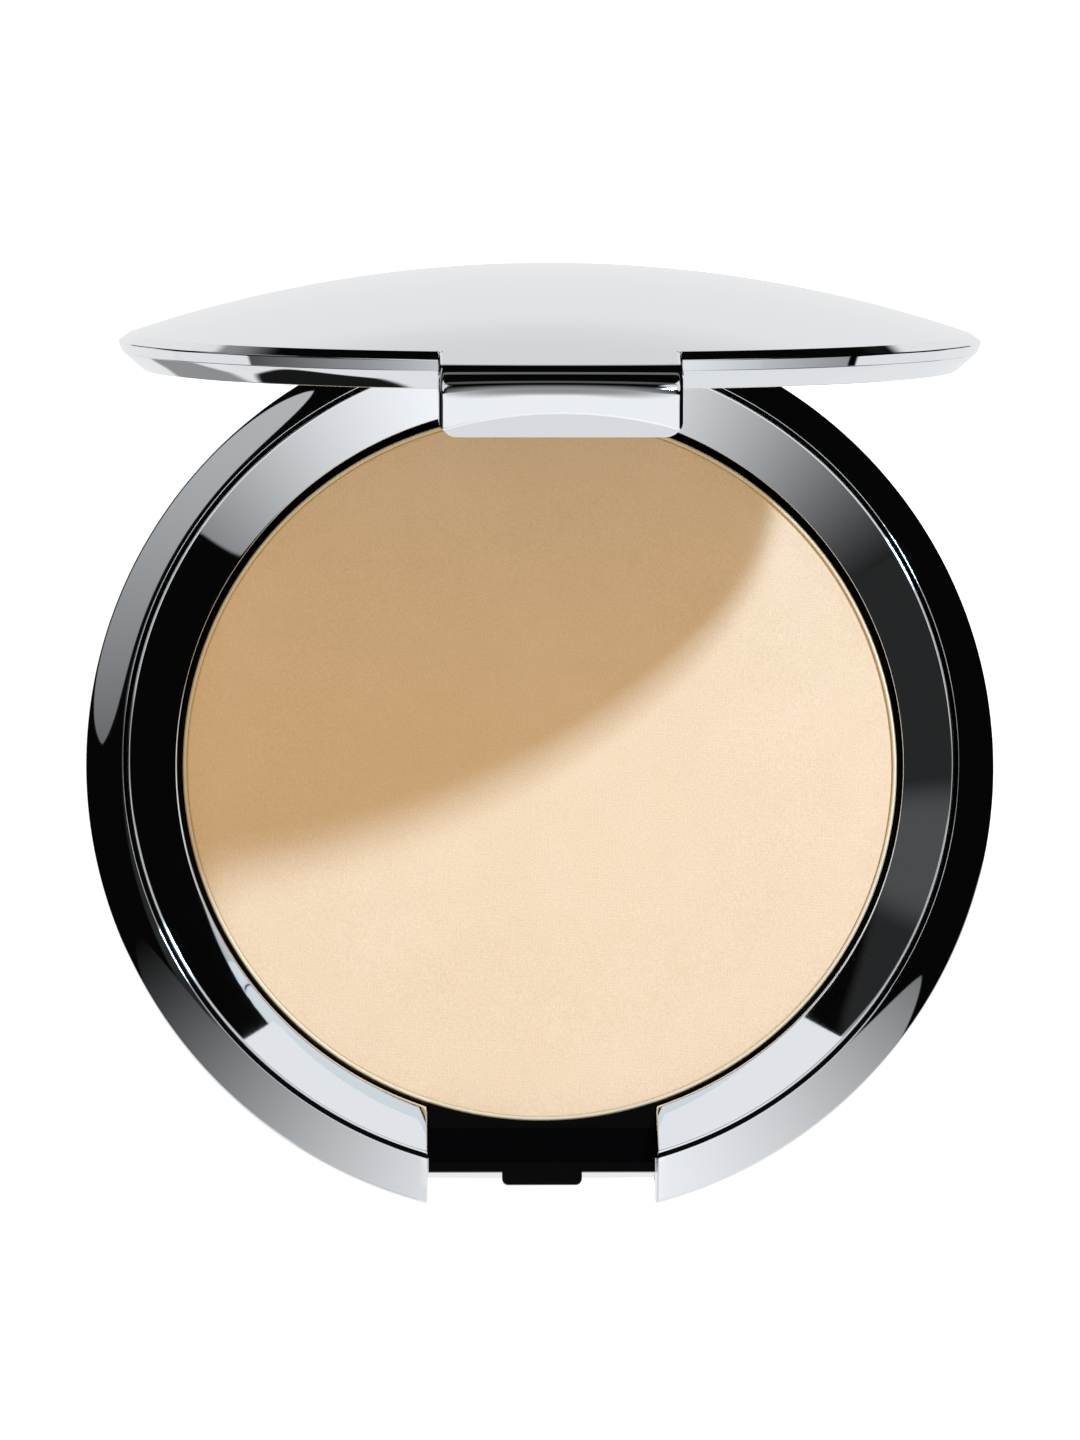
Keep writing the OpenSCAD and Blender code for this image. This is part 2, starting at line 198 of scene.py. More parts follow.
def addNode(tree, kind, settings=None, inputs=None):
    # one node, with its settings and with values or links for its inputs
    node = tree.nodes.new(kind)
    for key, value in (settings or {}).items():
        setattr(node, key, value)
    for key, value in (inputs or {}).items():
        if isinstance(value, bpy.types.NodeSocket):
            tree.links.new(value, node.inputs[key])
        else:
            node.inputs[key].default_value = value
    return node


def newMaterial(name, values):
    # a Principled material with its uniform values set on the shader
    material = bpy.data.materials.new(name)
    material.use_nodes = True
    shader = material.node_tree.nodes["Principled BSDF"]
    for key, value in values.items():
        shader.inputs[key].default_value = value
    return material, material.node_tree, shader


def chromePlate():
    # bright chrome over moulded ABS: an almost clean mirror, with faint haze where it is handled
    look = {"tint": "edf1f5", "roughness": 0.02, "smear": 0.02, "smearSize": 9.0, "wave": 0.004, "waveSize": 22.0}
    material, tree, shader = newMaterial("chromePlatedAbs", {"Base Color": srgb(look["tint"]), "Metallic": 1.0})
    place = addNode(tree, "ShaderNodeTexCoord").outputs["Object"]
    smear = addNode(tree, "ShaderNodeTexNoise", inputs={
        "Vector": place, "Scale": 1 / (look["smearSize"] * mm), "Detail": 4.0, "Roughness": 0.6})
    rough = addNode(tree, "ShaderNodeMapRange", inputs={
        "Value": smear.outputs["Fac"], "From Min": 0.45, "From Max": 0.75,
        "To Min": look["roughness"], "To Max": look["roughness"] + look["smear"]})
    tree.links.new(rough.outputs["Result"], shader.inputs["Roughness"])
    wave = addNode(tree, "ShaderNodeTexNoise", inputs={
        "Vector": place, "Scale": 1 / (look["waveSize"] * mm), "Detail": 1.0})
    bump = addNode(tree, "ShaderNodeBump", inputs={
        "Strength": 0.25, "Distance": look["wave"] * mm * 10, "Height": wave.outputs["Fac"]})
    tree.links.new(bump.outputs["Normal"], shader.inputs["Normal"])
    return material


def blackAbs():
    # gloss black ABS, injection moulded in a polished tool: deep black with a clear, slightly soft shine
    look = {"colour": "020203", "roughness": 0.12, "flow": 0.06, "flowSize": 6.0}
    material, tree, shader = newMaterial("glossBlackAbs", {"Base Color": srgb(look["colour"]), "IOR": 1.5,
                                                              "Specular IOR Level": 0.05})
    place = addNode(tree, "ShaderNodeTexCoord").outputs["Object"]
    flow = addNode(tree, "ShaderNodeTexNoise", inputs={
        "Vector": place, "Scale": 1 / (look["flowSize"] * mm), "Detail": 3.0})
    rough = addNode(tree, "ShaderNodeMapRange", inputs={
        "Value": flow.outputs["Fac"], "To Min": look["roughness"], "To Max": look["roughness"] + look["flow"]})
    tree.links.new(rough.outputs["Result"], shader.inputs["Roughness"])
    return material


def pressedPowder():
    # face powder pressed through cloth: matte, with a fine woven grain and soft mottling
    look = {"light": "f3dec2", "deep": "e6cfae", "thread": 0.26, "grain": 0.16, "mottle": 9.0, "depth": 0.05}
    material, tree, shader = newMaterial("pressedPowder", {"Roughness": 0.92, "Specular IOR Level": 0.15,
                                                            "Sheen Weight": 0.12, "Sheen Roughness": 0.6})
    place = addNode(tree, "ShaderNodeTexCoord").outputs["Object"]
    turned = addNode(tree, "ShaderNodeMapping", inputs={"Vector": place, "Rotation": (0, 0, math.radians(4))})
    waves = []
    for axis in ("X", "Y"):
        waves.append(addNode(tree, "ShaderNodeTexWave", {"bands_direction": axis, "wave_profile": "SIN"}, {
            "Vector": turned.outputs["Vector"], "Scale": 1 / (look["thread"] * mm) / 3.18,
            "Distortion": 1.6, "Detail": 1.0, "Detail Scale": 2.0}))
    weave = addNode(tree, "ShaderNodeMath", {"operation": "MULTIPLY"}, {
        0: waves[0].outputs["Fac"], 1: waves[1].outputs["Fac"]})
    grain = addNode(tree, "ShaderNodeTexNoise", inputs={
        "Vector": place, "Scale": 1 / (look["grain"] * mm), "Detail": 2.0})
    mottle = addNode(tree, "ShaderNodeTexNoise", inputs={
        "Vector": place, "Scale": 1 / (look["mottle"] * mm), "Detail": 5.0, "Roughness": 0.65})
    height = addNode(tree, "ShaderNodeMath", {"operation": "MULTIPLY_ADD"}, {
        0: weave.outputs["Value"], 1: 0.3, 2: grain.outputs["Fac"]})
    mixer = addNode(tree, "ShaderNodeMath", {"operation": "MULTIPLY_ADD"}, {
        0: grain.outputs["Fac"], 1: 2.4, 2: mottle.outputs["Fac"]})
    tone = addNode(tree, "ShaderNodeMapRange", inputs={
        "Value": mixer.outputs["Value"], "From Min": 1.1, "From Max": 2.3})
    colour = addNode(tree, "ShaderNodeMix", {"data_type": "RGBA"}, {
        "Factor": tone.outputs["Result"], 6: srgb(look["deep"]), 7: srgb(look["light"])})
    tree.links.new(colour.outputs[2], shader.inputs["Base Color"])
    bump = addNode(tree, "ShaderNodeBump", inputs={
        "Strength": 0.5, "Distance": look["depth"] * mm, "Height": height.outputs["Value"]})
    tree.links.new(bump.outputs["Normal"], shader.inputs["Normal"])
    return material


def lacqueredTinplate():
    # drawn tinplate with a pale gold lacquer: satin, with fine rings left by the drawing tool
    look = {"tint": "e9dcbd", "dark": "dccda8", "roughness": 0.42, "ring": 0.12}
    material, tree, shader = newMaterial("goldLacqueredTinplate", {"Metallic": 0.35})
    place = addNode(tree, "ShaderNodeTexCoord").outputs["Object"]
    rings = addNode(tree, "ShaderNodeTexWave", {"wave_type": "RINGS", "rings_direction": "Z"}, {
        "Vector": place, "Scale": 1 / (look["ring"] * mm) / 3.18, "Distortion": 0.6, "Detail": 2.0})
    tone = addNode(tree, "ShaderNodeMix", {"data_type": "RGBA"}, {
        "Factor": rings.outputs["Fac"], 6: srgb(look["dark"]), 7: srgb(look["tint"])})
    tree.links.new(tone.outputs[2], shader.inputs["Base Color"])
    rough = addNode(tree, "ShaderNodeMapRange", inputs={
        "Value": rings.outputs["Fac"], "To Min": look["roughness"], "To Max": look["roughness"] + 0.1})
    tree.links.new(rough.outputs["Result"], shader.inputs["Roughness"])
    return material


def speckled(name, light, dark, size, roughness, metallic=0.0, depth=0.0):
    # a plain finish with a fine speckle of the given size in millimetres
    material, tree, shader = newMaterial(name, {"Metallic": metallic, "Roughness": roughness})
    place = addNode(tree, "ShaderNodeTexCoord").outputs["Object"]
    speck = addNode(tree, "ShaderNodeTexNoise", inputs={
        "Vector": place, "Scale": 1 / (size * mm), "Detail": 4.0, "Roughness": 0.7})
    tone = addNode(tree, "ShaderNodeMix", {"data_type": "RGBA"}, {
        "Factor": speck.outputs["Fac"], 6: srgb(dark), 7: srgb(light)})
    tree.links.new(tone.outputs[2], shader.inputs["Base Color"])
    if depth:
        bump = addNode(tree, "ShaderNodeBump", inputs={
            "Strength": 0.4, "Distance": depth * mm, "Height": speck.outputs["Fac"]})
        tree.links.new(bump.outputs["Normal"], shader.inputs["Normal"])
    return material


chrome = chromePlate()
blackPlastic = blackAbs()
powderLook = pressedPowder()
panLook = lacqueredTinplate()
# coated paper for the label: off-white, with a faint fibre speckle
labelLook = speckled("coatedLabelPaper", "f2f1ee", "e6e4df", 0.4, 0.5, depth=0.01)
# cold-rolled sheet steel for the weight: grey with a dull mill finish
steelLook = speckled("rolledSteel", "9b9da0", "83858a", 0.6, 0.35, metallic=1.0)
# ground and polished steel wire for the pin: brighter and smoother
pinLook = speckled("groundSteelPin", "c9cbce", "b6b8bc", 0.2, 0.18, metallic=1.0)
# dried hot-melt glue under the pan: cream, satin and lumpy
glueLook = speckled("driedGlue", "e4e0d0", "d5cfb9", 1.0, 0.6, depth=0.03)
# foam tape behind the mirror: dark and dull, with an open cell texture
tapeLook = speckled("foamTape", "3a3a3b", "262627", 0.3, 0.85, depth=0.03)
# paint on the mirror's back: blue-grey, sprayed, with a slight orange peel
backingLook = speckled("mirrorBackPaint", "6e737a", "5e636a", 0.5, 0.5)
# float glass silvered behind, drawn as one mirror with the faint green of the glass
mirrorLook = speckled("silveredGlass", "eef3f1", "eaf0ee", 8.0, 0.012, metallic=1.0)
print("materials made")


def shellOutline():
    # half section of the bowl. The bowl is a quarter ellipse, foot radius plus (edge minus foot) x cos a across and
    # bowl top minus bowl top x sin a up; the bevel is a straight line lifted square to itself by 4 t (1 - t)
    b = base
    top, out, groove = b["stepHeight"], b["radius"], b["grooveRadius"]
    widest = top - b["bevelHeight"]
    bowlTop = widest - b["bandHeight"]
    t = np.linspace(0, 1, 25)
    length = math.hypot(b["bevelWidth"], b["bevelHeight"])
    lift = b["bevelCrown"] * 4 * t * (1 - t)
    bevel = np.stack([out - b["bevelWidth"] * t + lift * b["bevelHeight"] / length,
                      widest + b["bevelHeight"] * t + lift * b["bevelWidth"] / length], 1)
    a = np.radians(np.linspace(90, 0, 49))
    bowl = np.stack([b["footRadius"] + (out - b["footRadius"]) * np.cos(a), bowlTop - bowlTop * np.sin(a)], 1)
    label = np.array([[b["labelRadius"], b["labelDepth"]], [b["labelRadius"], 0.0]])
    foot = roundCorners(np.concatenate([[[0.0, b["labelDepth"]]], label, [bowl[0]]]), [0, 0, b["labelRound"], 0])
    side = roundCorners(np.concatenate([bowl[-2:], [[out, widest]], [bevel[1]]]), [0, 0, b["edgeRound"], 0])
    rim = roundCorners(np.array([bevel[-2], bevel[-1], [groove, top - b["grooveDepth"]]]), [0, b["rimRound"], 0])
    inside = np.array([[groove - inward, height] for inward, height in b["insideSteps"]]
                      + [[b["floorRadius"], b["floorThick"]], [0.0, b["floorThick"]]])
    profile = densify(np.concatenate([foot[:-1], bowl[:-2], side, bevel[2:-2], rim, inside]), b["outlineGap"])
    hidden = densify(np.concatenate([[rim[-1]], inside]), b["outlineGap"])
    outerRows = len(profile) - len(hidden) + 1
    return profile, outerRows


def shellGrid():
    # the bowl's profile turned about the axis. Columns at the notch and the hinge slot keep a fixed x, so
    # that the walls between them and their neighbours are flat: their angle is arcsin(x / radius). Beside a cut
    # wall the surface falls away along a circle, by r - sqrt(r^2 - (r - distance)^2)
    b = base
    profile, outerRows = shellOutline()
    r, z = profile[:, 0], profile[:, 1]
    dr, dz = np.gradient(r), np.gradient(z)
    norm = np.hypot(dr, dz) + 1e-12
    nr, nz = dz / norm, -dr / norm      # outward normal of the outline
    half, slot, fillet = b["notchHalf"], b["slotHalf"], b["cornerRound"]
    steps = 5
    ease = fillet * (1 - np.cos(np.linspace(0, np.pi / 2, steps + 1)))     # distance from the cut wall
    inNotch = np.linspace(-1, 1, 41)
    reach = np.maximum(r, 26.0)[:, None]
    notchX = half * inNotch[None, :] * np.ones_like(reach)
    nearX = (half + ease)[None, :] * np.ones_like(reach)                   # rounded corner beside the notch
    slotX = slot * np.linspace(1, -1, 9)[None, :] * np.ones_like(reach)
    nearSlot = (slot + ease[::-1])[None, :] * np.ones_like(reach)
    front = np.arcsin(notchX / reach)                                      # angle from -Y towards +X
    beside = np.arcsin(nearX / reach)
    slotAng = np.pi - np.arcsin(slotX / reach)
    besideSlot = np.pi - np.arcsin(nearSlot / reach)
    spans = 150
    first, last = beside[:, -1:], besideSlot[:, :1]
    flank = first + (last - first) * np.linspace(0, 1, spans + 2)[None, 1:-1]
    angles = np.concatenate([front, beside, flank, besideSlot, slotAng,
                             2 * np.pi - besideSlot[:, ::-1], 2 * np.pi - flank[:, ::-1],
                             2 * np.pi - beside[:, ::-1]], 1)
    n0, n1, n2, n3, n4 = front.shape[1], beside.shape[1], flank.shape[1], besideSlot.shape[1], slotAng.shape[1]
    dip = fillet - np.sqrt(np.maximum(fillet ** 2 - (fillet - ease) ** 2, 0))   # how far the corner falls away
    sink = np.zeros(angles.shape[1])
    sink[n0:n0 + n1] = dip
    sink[n0 + n1 + n2:n0 + n1 + n2 + n3] = dip[::-1]
    k = n0 + n1 + n2 + n3 + n4
    sink[k:k + n3] = dip
    sink[k + n3 + n2:] = dip[::-1]
    isNotch = np.zeros(angles.shape[1], bool)
    isNotch[:n0] = True
    isSlot = np.zeros(angles.shape[1], bool)
    isSlot[n0 + n1 + n2 + n3:k] = True
    rows = len(profile)
    wallY = -(b["grooveRadius"] - b["notchInset"])
    floorZ = b["stepHeight"] - b["notchFloor"]
    sinkHere = sink[None, :] * (z > 0.5)[:, None]
    radius = r[:, None] - sinkHere * nr[:, None]
    height = z[:, None] - sinkHere * nz[:, None]
    x = radius * np.sin(angles)
    y = -radius * np.cos(angles)
    z = np.broadcast_to(height, x.shape).copy()
    outer = (np.arange(rows) < outerRows)[:, None]
    frontFace = isNotch[None, :] & (y < 0)
    wall = np.where(outer, wallY, wallY + b["wallThick"])
    y = np.where(frontFace, np.maximum(y, wall), y)
    z = np.where(frontFace & (np.abs(y) > 20), np.minimum(z, floorZ), z)
    slotFloor = hingePos[2] - b["slotRadius"]
    z = np.where(isSlot[None, :] & (y > 20), np.minimum(z, slotFloor), z)
    verts = np.stack([x, y, z], -1).reshape(-1, 3)
    return verts, gridFaces(rows, angles.shape[1], wrapCols=True)


def hingeEars():
    # two barrels on the hinge axis, with softened ends
    pinLow, pinHigh = nodeBox("hinge_pin")
    pinRadius = (pinHigh[2] - pinLow[2]) / 2
    radius, inner = pinRadius + base["earWall"], base["slotHalf"]
    outer, steps = pinHigh[0], 64
    for side, label in ((1, "Right"), (-1, "Left")):
        line = roundCorners([[pinRadius, inner], [radius, inner], [radius, outer], [pinRadius, outer]],
                            [0, 0.12, 0.25, 0])
        t = np.linspace(0, 2 * np.pi, steps, endpoint=False)
        ring = np.stack([np.repeat(line[:, 1][:, None], steps, 1) * side,
                         hingePos[1] + line[:, 0][:, None] * np.cos(t),
                         hingePos[2] + line[:, 0][:, None] * np.sin(t)], -1).reshape(-1, 3)
        makePiece("hingeEar" + label, ring, gridFaces(len(line), steps, wrapRows=True, wrapCols=True),
                  "base", chrome)


shellVerts, shellFaces = shellGrid()
shell = makePiece("baseShell", shellVerts, shellFaces, "base", chrome, sharp=38)
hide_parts("base_shell")
hingeEars()
print("base shell made")


cone = {
    "inner": 29.80,
    "outer": 33.45,
    "bead": 0.3,
    "edge": 0.4,                  # height of the upright inner edge
    "innerHeight": bezelLow[2] + 0.4,
    "skirt": 2.2,
    "skirtInner": 32.78,
    "crown": 0.02,
    "cornerRound": 0.12,
}


def bezelPiece():
    # a slope crowned by 4 t (1 - t) square to itself, a half-round bead at its top, and a skirt behind. The columns
    # beside the notch keep a fixed x and fall away along a circle, as on the shell
    b = base
    top, half = b["stepHeight"], b["notchHalf"]
    inner, outer = cone["inner"], cone["outer"]
    low = cone["innerHeight"]
    t = np.linspace(0, 1, 21)[1:-1]
    beadRadius = cone["bead"] / 2
    lean = math.degrees(math.atan2(top - low, outer - inner))
    bead = arc(outer + beadRadius, top, beadRadius, 90 + lean, 0, 12)      # meets the cone smoothly
    slope = bead[0] - np.array([inner, low])
    length = np.linalg.norm(slope)
    normal = np.array([-slope[1], slope[0]]) / length
    face = np.array([inner, low]) + t[:, None] * slope + (cone["crown"] * 4 * t * (1 - t))[:, None] * normal
    lip = roundCorners([[inner + 0.5, low - cone["edge"]], [inner, low - cone["edge"]], [inner, low], face[0]],
                       [0, 0.1, 0.12, 0])
    back = np.array([[outer + cone["bead"], top - cone["skirt"]], [cone["skirtInner"], top - cone["skirt"]]])
    line = np.concatenate([lip, face[1:], bead, back])
    r, z = line[:, 0], line[:, 1]
    dr, dz = np.gradient(r), np.gradient(z)
    norm = np.hypot(dr, dz) + 1e-12
    nr, nz = -dz / norm, dr / norm
    fillet = cone["cornerRound"]
    ease = fillet * (1 - np.cos(np.linspace(0, np.pi / 2, 6)))
    near = (half + ease)[None, :] * np.ones((len(r), 1))
    beside = np.arcsin(near / r[:, None])
    spans = 300
    flank = beside[:, -1:] + (2 * np.pi - 2 * beside[:, -1:]) * np.linspace(0, 1, spans + 2)[None, 1:-1]
    angles = np.concatenate([beside, flank, 2 * np.pi - beside[:, ::-1]], 1)
    dip = fillet - np.sqrt(np.maximum(fillet ** 2 - (fillet - ease) ** 2, 0))
    sink = np.concatenate([dip, np.zeros(spans), dip[::-1]])
    radius = r[:, None] - sink[None, :] * nr[:, None]
    height = z[:, None] - sink[None, :] * nz[:, None]
    x, y = radius * np.sin(angles), -radius * np.cos(angles)
    z = np.broadcast_to(height, x.shape).copy()
    slotY = hingePos[1] - b["slotRadius"]
    inSlot = (np.abs(x) < b["slotHalf"]) & (y > slotY)
    y = np.where(inSlot, slotY, y)
    z = np.where(inSlot, np.minimum(z, low + (slotY - inner) / (outer - inner) * (top - low)), z)
    verts = np.stack([x, y, z], -1).reshape(-1, 3)
    rows, cols = x.shape
    faces = gridFaces(rows, cols, wrapRows=True)
    faces.append([i * cols for i in range(rows)])
    faces.append([i * cols + cols - 1 for i in range(rows)])
    piece = makePiece("baseBezel", verts, faces, "base", chrome, sharp=38)
    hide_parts("base_bezel")
    return piece


bezelPiece()
print("bezel made")


filling = {
    "panThick": 0.35,
    "panFloor": 0.5,
    "panRounds": (0, 0.35, 0.14, 0.12, 0.3, 0),
    "crown": 0.25,                # fall of the powder from the middle to the edge
    "edgeDrop": 0.12,             # depth of the rounded edge
    "edgeStart": 0.985,           # share of the radius where the rounding starts
    "sink": 0.6,                  # underside of the powder above the pan's underside
}


def panAndPowder():
    # both are outlines turned about the upright axis
    f = filling
    radius, rim, under = panHigh[0], panHigh[2], panLow[2]
    inner, floor = radius - f["panThick"], under + f["panFloor"]
    outline = roundCorners([[0, under], [radius, under], [radius, rim], [inner, rim], [inner, floor], [0, floor]],
                           f["panRounds"])
    verts, faces = spin(densify(outline, 1.2))
    pan = makePiece("powderPan", verts, faces, "base", panLook)
    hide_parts("pan")
    inside, top = powderHigh[0], powderHigh[2]
    s = np.concatenate([np.linspace(0, 0.97, 60), np.linspace(0.972, 1, 16)])
    # height falls from the middle by crown x s^4, then rolls over at the pan's wall along a quarter circle
    edge = np.clip((s - f["edgeStart"]) / (1 - f["edgeStart"]), 0, 1)
    height = top - f["crown"] * s ** 4 - f["edgeDrop"] * (1 - np.sqrt(np.maximum(1 - edge ** 2, 0)))
    line = np.stack([inside * s, height], 1)
    line = np.concatenate([line, [[inside, under + f["sink"]], [0, under + f["sink"]]]])
    verts, faces = spin(line)
    powder = makePiece("powderCake", verts, faces, "base", powderLook, sharp=60)
    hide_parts("powder_cake")


panAndPowder()
print("pan and powder made")


lid = {
    "radius": 33.69,
    "edgeBottom": base["stepHeight"] + 0.2,
    "edgeHeight": 1.1,
    "bandWidth": 1.04,
    "bandLean": 55,       # of the band from upright
    "domeHeight": 5.67,
    "domeWall": 1.3,
    "tabRadius": base["radius"] - 0.34,
    "tabHalf": 9.09,
    "tabDrop": 4.61,
    "tabInner": 34.95,
    "roll": 2.9,
    "corner": 1.4,
    "facetHeight": 1.9,
    "facetIn": 1.6,
    "sideRound": 0.4,
    "rootOut": 0.04,
    "lowerIn": 0.27,      # lower edge, in from the widest
    "bandRound": 0.1,
    "wallInner": 31.8,
    "facetSoft": 0.03,
    "armIn": 0.7,
    "barrelWall": 0.8,
    "knuckleHalf": 6.0,
}
lid["domeTop"] = lid["edgeBottom"] + lid["edgeHeight"] + lid["domeHeight"]
lid["sphere"] = (lid["radius"] ** 2 + lid["domeHeight"] ** 2) / (2 * lid["domeHeight"])


def domeHeight(r):
    # a shallow sphere: top minus the sag at radius r
    return lid["domeTop"] - (lid["sphere"] - np.sqrt(lid["sphere"] ** 2 - np.asarray(r) ** 2))


def tuckedRound(sideRadius, radius):
    # middle height and slope of a round that meets the dome smoothly, with its side at sideRadius
    middle = lid["domeTop"] - lid["sphere"] + math.sqrt((lid["sphere"] - radius) ** 2 - (sideRadius - radius) ** 2)
    return middle, math.degrees(math.asin((sideRadius - radius) / (lid["sphere"] - radius)))


def lidShell():
    # one outline for the lid's edge and one for the tab, with the same number of points, so that a single
    # grid carries both and the jump between them makes the tab's flat sides. The tab's columns are at a fixed x,
    # with y = -sqrt(radius^2 - x^2)
    bottom = lid["edgeBottom"]
    rootRadius = lid["radius"] + lid["rootOut"] - lid["bandWidth"] * math.sin(math.radians(lid["bandLean"]))
    domeR = rootRadius * np.sin(np.linspace(0, np.pi / 2, 60))
    dome = np.stack([domeR, domeHeight(domeR)], 1)[:-1]
    # a flat band under the dome, then a face that leans in to the lower edge
    bandTop = np.array([rootRadius, float(domeHeight(rootRadius))])
    lean = math.radians(lid["bandLean"])
    bandEnd = bandTop + lid["bandWidth"] * np.array([math.sin(lean), -math.cos(lean)])
    line = roundCorners([bandTop, bandEnd, [lid["radius"] - lid["lowerIn"], bottom]], [0, lid["bandRound"], 0], 20)
    along = np.concatenate([[0], np.cumsum(np.linalg.norm(np.diff(line, axis=0), axis=1))])
    steps = np.linspace(0, along[-1], 71)
    edge = np.stack([np.interp(steps, along, line[:, 0]), np.interp(steps, along, line[:, 1])], 1)
    inner = lid["wallInner"]
    under = np.array([[inner, bottom], [inner, float(domeHeight(inner)) - lid["domeWall"]],
                      [20.0, float(domeHeight(20.0)) - lid["domeWall"]], [0.0, lid["domeTop"] - lid["domeWall"]]])
    tabMiddle, tabSlope = tuckedRound(lid["tabRadius"], lid["roll"])
    tabZ = base["stepHeight"] - lid["tabDrop"]
    rollTop = lid["tabRadius"] - lid["roll"] + lid["roll"] * math.sin(math.radians(tabSlope))
    extR = np.linspace(rootRadius, rollTop, 9)[:-1]
    ext = np.stack([extR, domeHeight(extR)], 1)
    roll = arc(lid["tabRadius"] - lid["roll"], tabMiddle, lid["roll"], 90 - tabSlope, 0, 24)
    face = np.stack([np.full(31, lid["tabRadius"]), np.linspace(tabMiddle, tabZ, 32)[1:]], 1)
    inside = np.array([[lid["tabInner"], tabZ], [lid["tabInner"], tabZ + 0.6], [lid["tabInner"], tabZ + 1.8],
                       [lid["tabInner"], bottom - 0.25], [lid["tabInner"] - 0.25, bottom],
                       [edge[-1, 0] + 0.2, bottom]])
    tab = np.concatenate([ext, roll, face, inside])
    tab = np.concatenate([tab, [[edge[-1, 0], bottom]]])
    assert len(tab) == len(edge), (len(tab), len(edge))
    plain = np.concatenate([dome, edge, under])
    wide = np.concatenate([dome, tab, under])
    row = np.arange(len(plain))
    onTab = (row >= len(dome)) & (row < len(dome) + len(tab))
    faceRows = onTab & (row < len(dome) + len(ext) + len(roll) + len(face))
    half, fillet = lid["tabHalf"], lid["sideRound"]
    steps = 8
    ease = fillet * (1 - np.cos(np.linspace(0, np.pi / 2, steps + 1)))
    inTab = np.concatenate([-half + ease, np.linspace(-half + fillet, half - fillet, 61)[1:-1], (half - ease)[::-1]])
    dip = fillet - np.sqrt(np.maximum(fillet ** 2 - (fillet - ease) ** 2, 0))
    sink = np.concatenate([dip, np.zeros(59), dip[::-1]])
    tabR = np.maximum(wide[:, 0], 20.0)[:, None]
    # the tab's columns keep a fixed x; the lid's other columns are spread round the rest of the circle
    front = np.arcsin(np.clip(inTab[None, :] / tabR, -1, 1))
    startR = np.maximum(plain[:, 0], 20.0)[:, None]
    start = np.arcsin(half / startR)
    spans = 340
    flank = start + (2 * np.pi - 2 * start) * np.linspace(0, 1, spans)[None, :]
    dr, dz = np.gradient(wide[:, 0]), np.gradient(wide[:, 1])
    norm = np.hypot(dr, dz) + 1e-12
    nr, nz = -dz / norm, dr / norm
    fade = np.clip((wide[:, 0] - 31.5) / 2.2, 0, 1) * faceRows
    sinkTab = sink[None, :] * fade[:, None]
    rr = wide[:, 0][:, None] - sinkTab * np.abs(nr)[:, None]
    zz = wide[:, 1][:, None] - sinkTab * np.abs(nz)[:, None]
    x = rr * np.sin(front)
    y = -rr * np.cos(front)
    isFace = faceRows[:, None] & np.ones_like(x, bool)
    x = np.where(wide[:, 0][:, None] > 20, np.broadcast_to(inTab[None, :], x.shape), x)
    y = np.where(wide[:, 0][:, None] > 20, -np.sqrt(np.maximum(rr ** 2 - x ** 2, 0)), y)
    insideRows = (onTab & ~faceRows)[:, None] & (wide[:, 0] > 34.5)[:, None]
    y = np.where(insideRows, -wide[:, 0][:, None], y)
    # the thumb facet: a sloping plane cuts the curved face, so that its upper edge is an arc
    facetTop = tabZ + lid["facetHeight"]
    plane = -lid["tabRadius"] + (facetTop - zz) * lid["facetIn"] / lid["facetHeight"]
    # the greater of the two, softened: half of their sum plus sqrt(difference^2 + soft^2)
    blend = 0.5 * (y + plane + np.sqrt((y - plane) ** 2 + lid["facetSoft"] ** 2))
    y = np.where(isFace & (zz < facetTop + 0.5) & (wide[:, 0] > 36)[:, None], blend, y)
    # rounded lower corners: the lower edge rises along a circle, by r - sqrt(r^2 - over^2)
    over = np.clip(np.abs(x) - (half - lid["corner"]), 0, lid["corner"])
    lift = lid["corner"] - np.sqrt(lid["corner"] ** 2 - over ** 2)
    low = tabZ + lift
    zz = np.where((onTab[:, None]) & (wide[:, 0] > 34.5)[:, None], np.maximum(zz, low), zz)
    tabPoints = np.stack([x, y, zz], -1)
    px = plain[:, 0][:, None] * np.sin(flank)
    py = -plain[:, 0][:, None] * np.cos(flank)
    pz = np.repeat(plain[:, 1][:, None], spans, 1)
    rest = np.stack([px, py, pz], -1)
    grid = np.concatenate([tabPoints, rest], 1)
    verts = grid.reshape(-1, 3)
    faces = gridFaces(grid.shape[0], grid.shape[1], wrapCols=True)
    piece = makePiece("lidShell", openLid(verts), faces, "lid", chrome, sharp=35)
    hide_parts("lid_shell")


def knuckle():
    # the lid's middle barrel and the short arm that joins it to the edge
    pinLow, pinHigh = nodeBox("hinge_pin")
    radius, half = (pinHigh[2] - pinLow[2]) / 2 + lid["barrelWall"], lid["knuckleHalf"]
    hy, hz = hingePos[1], hingePos[2]
    armY = lid["radius"] - lid["armIn"]
    barrel = arc(hy, hz, radius, 70, -190, 40)
    outline = np.concatenate([[[armY, lid["edgeBottom"]], [armY, float(domeHeight(armY)) - 0.05]], barrel])
    n = len(outline)
    xs = half * np.array([-1, -0.985, -0.97, 0.97, 0.985, 1])
    shrink = np.array([0.12, 0.035, 0, 0, 0.035, 0.12])
    centre = outline.mean(0)
    away = outline - centre
    away /= np.linalg.norm(away, axis=1)[:, None]
    points = outline[None] - shrink[:, None, None] * away[None]
    verts = np.concatenate([np.repeat(xs, n)[:, None], points.reshape(-1, 2)], 1)
    faces = gridFaces(len(xs), n, wrapCols=True)
    faces += [list(range(n)), list(range((len(xs) - 1) * n, len(xs) * n))]
    makePiece("lidKnuckle", openLid(verts), faces, "lid", chrome)


